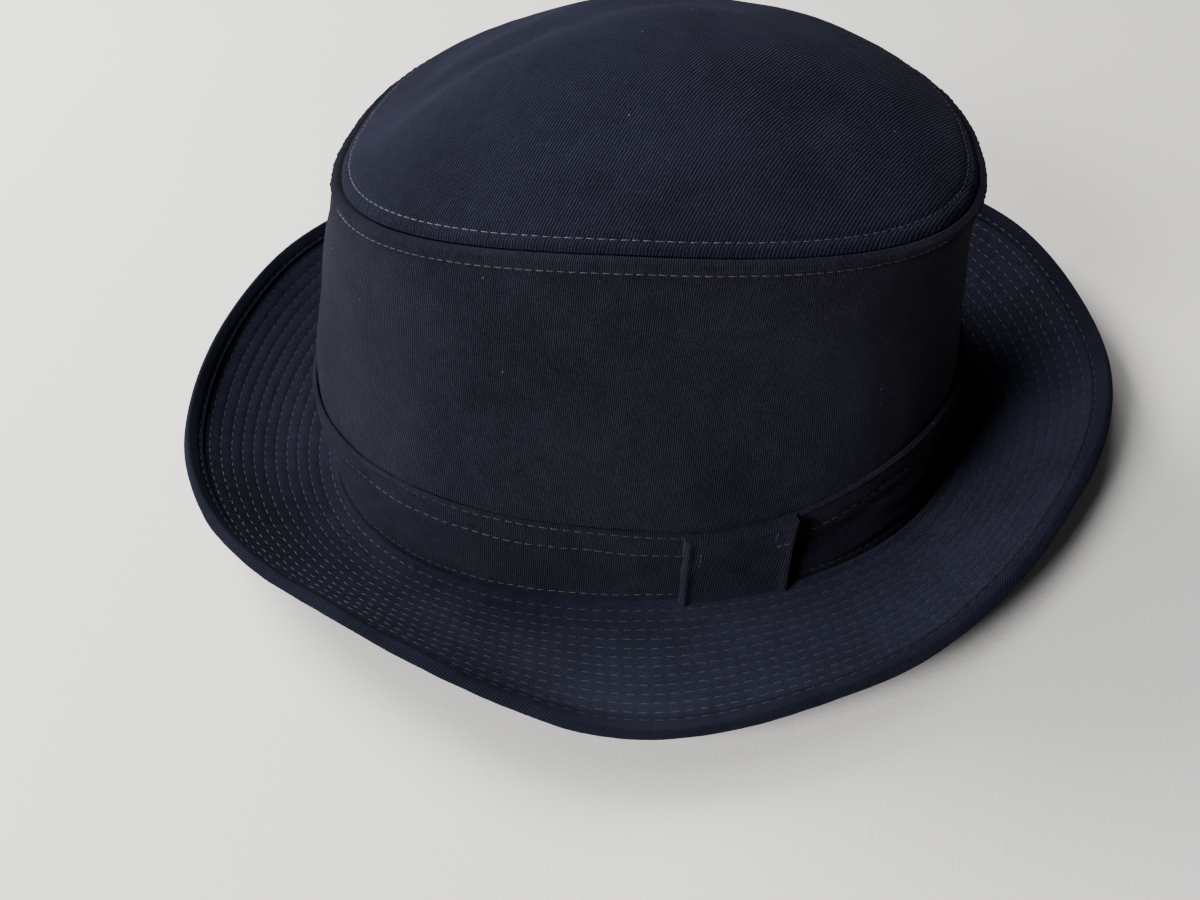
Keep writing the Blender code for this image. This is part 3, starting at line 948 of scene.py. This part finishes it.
def make_brim():
    angle = ring_angles(BRIM_COLUMNS)
    edge = brim_edge(angle)
    reaches = []
    rises = []
    for row in range(BRIM_ROWS - 1):
        for step in QUILT_STEPS:
            reaches.append(brim_row_reach(angle, row + step))
            rises.append(sin(pi * step) ** 0.7 - 0.5)
    last = brim_row_reach(angle, BRIM_ROWS - 1)
    reaches.append(last)
    rises.append(-0.5)
    for step in EDGE_STEPS:
        reaches.append(last * (1 - step) + edge * step)
        rises.append(-0.5 + 0.5 * min(1.0, step * 3))
    inside = np.full(BRIM_COLUMNS, -(BAND_THICKNESS + GAP + CROWN_WALL))
    welt_reaches = [inside * 0 + reach for reach in WELT_STEPS]
    reaches = np.array([inside, inside * 0] + welt_reaches + reaches)
    rises = np.array([0.0] * (2 + len(WELT_STEPS)) + rises)
    place, out, up = brim_section(angle[None, :], reaches)
    relief = ruck(place, BRIM_WAVES, BRIM_SEED)
    welt = WELT_HEIGHT * bell(reaches, WELT_PLACE, WELT_REACH)
    fade = quilt_fade(angle, reaches)
    height = (QUILT_DEPTH * rises[:, None] + relief) * fade + welt
    top = place + up * height[..., None]
    keep = np.arange(0, len(reaches), 2)
    keep = np.r_[keep[keep < len(reaches) - 1], len(reaches) - 1]
    under_height = brim_thickness(angle, reaches)
    under_height = under_height + (QUILT_DEPTH * rises[:, None] * UNDER_QUILT - relief * UNDER_RUCK) * fade
    under = place - up * under_height[..., None]
    under[..., 2] = np.maximum(under[..., 2], 0.0)
    loops = np.concatenate([top, under[keep][::-1]])
    radius = np.hypot(foot_point(angle)[:, 0], foot_point(angle)[:, 1])[None, :] + reaches
    flat = points(radius * np.cos(angle), radius * np.sin(angle))
    coords = np.concatenate([flat, flat[keep][::-1], flat[:1]])
    brim = ring_piece("brim_cloth", loops, wrap(coords), BRIM_CLOTH)
    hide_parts("brim")

    fine = ring_angles(STITCH_LINE_POINTS)
    upper = []
    lower = []
    for row in range(BRIM_ROWS):
        reach = brim_row_reach(fine, row)
        point, _, normal = brim_section(fine, reach)
        relief = ruck(point, BRIM_WAVES, BRIM_SEED)
        fade = quilt_fade(fine, reach)
        rise = (relief - 0.5 * QUILT_DEPTH) * fade
        upper.append(stitch_row(point + normal * rise[:, None], normal, BRIM_PITCH, BRIM_DASH))
        drop = BRIM_THICKNESS + (-0.5 * UNDER_QUILT * QUILT_DEPTH - UNDER_RUCK * relief) * fade
        line = point - normal * drop[:, None]
        line[:, 2] = np.maximum(line[:, 2], 1.6 * THREAD)
        lower.append(stitch_row(line, -normal, BRIM_PITCH, BRIM_DASH))
    above = stitch_piece("brim_top_stitches", upper, BRIM_THREAD)
    below = stitch_piece("brim_under_stitches", lower, BRIM_THREAD)


# Section of the binding's face, above or below the brim, from its folded edge out: place as a share of
# BINDING_WIDTH in from the brim's edge, and height above its plain face.
BINDING_FACE = (
    (1.00, -0.00070),
    (0.99, -0.00052),
    (0.95, -0.00036),
    (0.88, -0.00034),
    (0.81, -0.00048),
    (0.75, -0.00064),
    (0.69, -0.00048),
    (0.60, -0.00026),
    (0.42, -0.00010),
    (0.22, 0.00000),
    (0.06, 0.00000),
)


def make_binding():
    angle = ring_angles(BRIM_COLUMNS)
    over = GAP + BINDING_THICKNESS
    # Each corner of the section: place out from the brim's edge, depth as a share of the brim's
    # thickness, and height above there.
    section = [(-BINDING_WIDTH, 0.0, GAP), (GAP, 0.0, GAP), (GAP, 1.0, -GAP), (-BINDING_WIDTH, 1.0, -GAP)]
    for inward, lift in BINDING_FACE:
        section.append((-BINDING_WIDTH * inward, 1.0, -over - lift))
    for turn in EDGE_TURNS:
        across = GAP + BINDING_THICKNESS * cos(radians(turn))
        section.append((across, (1 - sin(radians(turn))) / 2, (over + 0.0001) * sin(radians(turn))))
    for inward, lift in BINDING_FACE[::-1]:
        section.append((-BINDING_WIDTH * inward, 0.0, over + lift))
    loops = []
    coords = []
    around = np.linspace(0, 2 * pi, BRIM_COLUMNS + 1) * (FOOT_LENGTH + FOOT_WIDTH + 4 * BRIM_WIDTH) / 4
    run = 0.0
    last = section[0]
    for k, (across, depth, height) in enumerate(section + section[:1]):
        run += abs(across - last[0]) + abs(height - last[2])
        last = (across, depth, height)
        coords.append(points(around, run))
        if k == len(section):
            break
        reach = brim_edge(angle) + min(0.0, across)
        point, out, up = brim_section(angle, reach)
        lift = height - depth * brim_thickness(angle, reach)
        loop = point + out * max(0.0, across) + up * lift[:, None]
        if k > 3:
            loop = loop + up * (ruck(loop, BINDING_WAVES, BINDING_SEED) * (1 - 2 * depth))[:, None]
        loops.append(loop)
    binding = ring_piece("binding_cloth", np.array(loops), np.array(coords), BINDING_CLOTH)
    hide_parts("brim_binding")
    fine = ring_angles(STITCH_LINE_POINTS)
    rows = []
    for sign in (1, -1):
        reach = brim_edge(fine) - BINDING_WIDTH + BINDING_ROW
        point, _, up = brim_section(fine, reach)
        height = over if sign == 1 else -over - brim_thickness(fine, reach)
        line = point + up * (height + np.zeros(len(fine)))[:, None]
        rise = ruck(line, BINDING_WAVES, BINDING_SEED) - BINDING_ROW_DEPTH
        line = line + up * (sign * rise)[:, None]
        rows.append(stitch_row(line, up * sign, BRIM_PITCH, BRIM_DASH))
    stitches = stitch_piece("binding_stitches", rows, BRIM_THREAD)


def noise_ring(angle, height):
    """Place on a plain oval of about the foot's size, where the noise of band and tab is read."""
    return points(np.cos(angle) * 0.09, np.sin(angle) * 0.07, height)


def band_relief(angle, height):
    """A bead along the folded top, rows pulled in by stitches, and soft folds along the band."""
    top = band_top(angle) - height
    bead = BAND_BEAD * bell(top, BAND_ROUND, 0.00045)
    dips = 1.4 * bell(top, BAND_ROW_TOP - 0.0003, 0.0005)
    dips = dips + bell(top, BAND_ROW_MIDDLE, ROW_DIP_REACH)
    dips = dips + 0.8 * bell(height, BAND_ROW_FOOT, ROW_DIP_REACH)
    middle = np.clip(height / BAND_MARGIN, 0, 1) * np.clip(top / BAND_MARGIN, 0, 1)
    folds = ruck(noise_ring(angle, height * 2.2), BAND_WAVES, BAND_SEED)
    return bead + folds * middle - ROW_DIP * dips


def band_outer(angle, height):
    return band_face(angle, height, GAP + BAND_THICKNESS + band_relief(angle, height))


def make_band():
    angle = ring_angles(CROWN_COLUMNS)
    top = band_top(angle)
    heights = [BAND_ROUND + (top - 0.0013) * share for share in np.linspace(0, 1, BAND_STEPS)]
    loops = [band_face(angle, 0 * top, 0 * top + GAP + 0.4 * BAND_THICKNESS)]
    loops += [band_outer(angle, height) for height in heights]
    for turn in (35, 90, 145):
        height = top - BAND_ROUND * (1 - sin(radians(turn)))
        offset = GAP + BAND_THICKNESS / 2 * (1 + cos(radians(turn)))
        loops.append(band_face(angle, height, 0 * top + offset))
    loops += [band_face(angle, height, 0 * top + GAP) for height in (top - 0.0008, top / 2, 0 * top + 0.0004)]
    run = np.r_[0.0, [height.mean() for height in heights]]
    run = np.r_[run, run[-1] + np.array([0.0005, 0.001, 0.0015, 0.002, 0.02, 0.04, 0.041])]
    around = np.linspace(0, 2 * pi, CROWN_COLUMNS + 1) * FOOT_RADIUS
    coords = points(around[None, :], run[:, None])
    band = ring_piece("hat_band_cloth", np.array(loops), coords, BAND_CLOTH)
    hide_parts("hat_band")
    fine = ring_angles(STITCH_LINE_POINTS)
    rows = []
    fine_top = band_top(fine)
    for level in (fine_top - BAND_ROW_TOP, fine_top - BAND_ROW_MIDDLE, 0 * fine_top + BAND_ROW_FOOT):
        rows.append(stitch_row(band_outer(fine, level), band_normal(fine, level), BAND_PITCH, BAND_DASH))
    stitches = stitch_piece("band_stitches", rows, CROWN_THREAD)


def tab_outer(angle, height, edge):
    """Outer face of the tab: thick at its folded side, and squeezed at its sides and top."""
    inner = 2 * GAP + BAND_THICKNESS
    puff = TAB_THICKNESS * (1 - TAB_SQUEEZE * np.exp(-edge / TAB_SQUEEZE_REACH))
    across = (angle - TAB_ANGLE) * TAB_RADIUS
    # The side towards the hat's front is a thick fold, and the other side stands off a little.
    fold = TAB_FOLD * bell(TAB_WIDTH / 2 + across, TAB_FOLD_PLACE, TAB_FOLD_PLACE)
    fold = fold + TAB_LIFT * np.exp((across - TAB_WIDTH / 2) / TAB_LIFT_REACH)
    fold = fold + TAB_BEAD * bell(edge, TAB_BEAD_PLACE, TAB_BEAD_PLACE)
    soft = ruck(noise_ring(angle, height), TAB_WAVES, TAB_SEED)
    belly = TAB_BELLY * np.clip(height / band_top(TAB_ANGLE), 0, 1) ** 2
    return band_face(angle, height, inner + puff + fold + belly + soft * np.clip(edge / TAB_MARGIN, 0, 1))


def make_tab():
    half = TAB_WIDTH / 2
    across = half * np.sin(np.linspace(-pi / 2, pi / 2, TAB_COLUMNS))
    columns = TAB_ANGLE + across / TAB_RADIUS
    top = (band_top(columns) + TAB_OVERHANG)[None, :]
    height = top * (1 - np.cos(np.linspace(0, pi, TAB_ROWS)))[:, None] / 2
    angle = columns[None, :] + 0 * height
    edge = np.minimum(half - np.abs(across)[None, :], top - height)
    outer = tab_outer(angle, height, edge)
    inner = band_face(angle, height, np.full(angle.shape, 2 * GAP + BAND_THICKNESS))
    rows, columns = angle.shape
    count = rows * columns
    grid = np.arange(count).reshape(rows, columns)
    quads = np.stack([grid[:-1, :-1], grid[:-1, 1:], grid[1:, 1:], grid[1:, :-1]], axis=-1).reshape(-1, 4)
    rim = np.r_[grid[0, :-1], grid[:-1, -1], grid[-1, :0:-1], grid[:0:-1, 0]]
    after = np.roll(rim, -1)
    sides = np.stack([after, rim, rim + count, after + count], axis=-1)
    faces = np.concatenate([quads, quads[:, ::-1] + count, sides])
    verts = np.concatenate([outer.reshape(-1, 3), inner.reshape(-1, 3)])
    flat = points(across[None, :], height).reshape(-1, 2)
    flat = np.concatenate([flat, flat + np.array([0.0, 0.0003])])
    tab = make_piece("band_tab_cloth", verts, faces, flat[faces], BAND_CLOTH)
    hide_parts("band_tab")
    rows = []
    top = float(top.mean())
    # Each run of stitches goes from one place to another: across from the tab's middle, and height.
    runs = (
        ((half - 0.0052, top - 0.0012), (half - 0.0056, top - 0.0062)),
        ((half - 0.0050, top - 0.0085), (half - 0.0015, top - 0.0070)),
        ((-half + 0.0048, top - 0.0060), (-half + 0.0046, top - 0.0125)),
    )
    for start, end in runs:
        place = np.linspace(start[0], end[0], TAB_RUN_POINTS)
        level = np.linspace(start[1], end[1], TAB_RUN_POINTS)
        turn = TAB_ANGLE + place / TAB_RADIUS
        line = tab_outer(turn, level, np.minimum(half - np.abs(place), top - level))
        rows.append(stitch_row(line, band_normal(turn, level), SEAM_PITCH, SEAM_DASH, False))
    stitches = stitch_piece("tab_stitches", rows, CROWN_THREAD)


def make_stage():
    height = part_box("brim")[0][2] - FLOOR_GAP
    bpy.ops.mesh.primitive_plane_add(size=FLOOR_SIZE, location=(0, 0, height))
    floor = bpy.context.object
    floor.name = "floor"
    n = Nodes("pale_floor")
    solid = n.add("ShaderNodeTexCoord").outputs["Object"]
    grain = n.clouds(solid, FLOOR_GRAIN_SCALE, 2.0)
    tone = n.clouds(solid, FLOOR_TONE_SCALE, 2.0)
    color = n.mix(tone, FLOOR_DARK, FLOOR_LIGHT)
    bump = n.add("ShaderNodeBump", {"Height": grain, "Strength": 0.4, "Distance": 0.0003})
    floor.data.materials.append(n.finish(Base_Color=color, Roughness=0.9, Normal=bump.outputs[0]))


def make_light():
    for name, place, size, power, color in LIGHTS:
        data = bpy.data.lights.new(name, "AREA")
        data.shape = "DISK"
        data.size = size
        data.energy = power
        data.color = color
        lamp = bpy.data.objects.new(name, data)
        lamp.location = place
        lamp.rotation_euler = (Vector(LIGHT_TARGET) - Vector(place)).to_track_quat("-Z", "Y").to_euler()
        bpy.context.collection.objects.link(lamp)
    world = bpy.data.worlds.new("soft_world")
    bpy.context.scene.world = world
    world.use_nodes = True
    back = world.node_tree.nodes["Background"]
    back.inputs["Color"].default_value = WORLD_COLOR
    back.inputs["Strength"].default_value = WORLD_STRENGTH


def make_camera():
    forward = Vector((sin(CAMERA_YAW) * cos(CAMERA_PITCH), cos(CAMERA_YAW) * cos(CAMERA_PITCH),
                      -sin(CAMERA_PITCH)))
    level = Vector((cos(CAMERA_YAW), -sin(CAMERA_YAW), 0.0))
    upright = level.cross(forward)
    right = level * cos(CAMERA_ROLL) + upright * sin(CAMERA_ROLL)
    up = upright * cos(CAMERA_ROLL) - level * sin(CAMERA_ROLL)
    data = bpy.data.cameras.new("camera")
    data.sensor_width = SENSOR_WIDTH
    data.lens = FOCAL_PIXELS / IMAGE_WIDTH * SENSOR_WIDTH
    data.clip_start = 0.01
    camera = bpy.data.objects.new("camera", data)
    turn = Matrix((right, up, -forward)).transposed().to_4x4()
    camera.matrix_world = Matrix.Translation(Vector(CAMERA_PLACE)) @ turn
    bpy.context.collection.objects.link(camera)
    bpy.context.scene.camera = camera


make_camera()
make_light()
make_stage()
make_crown()
make_brim()
make_binding()
make_band()
make_tab()
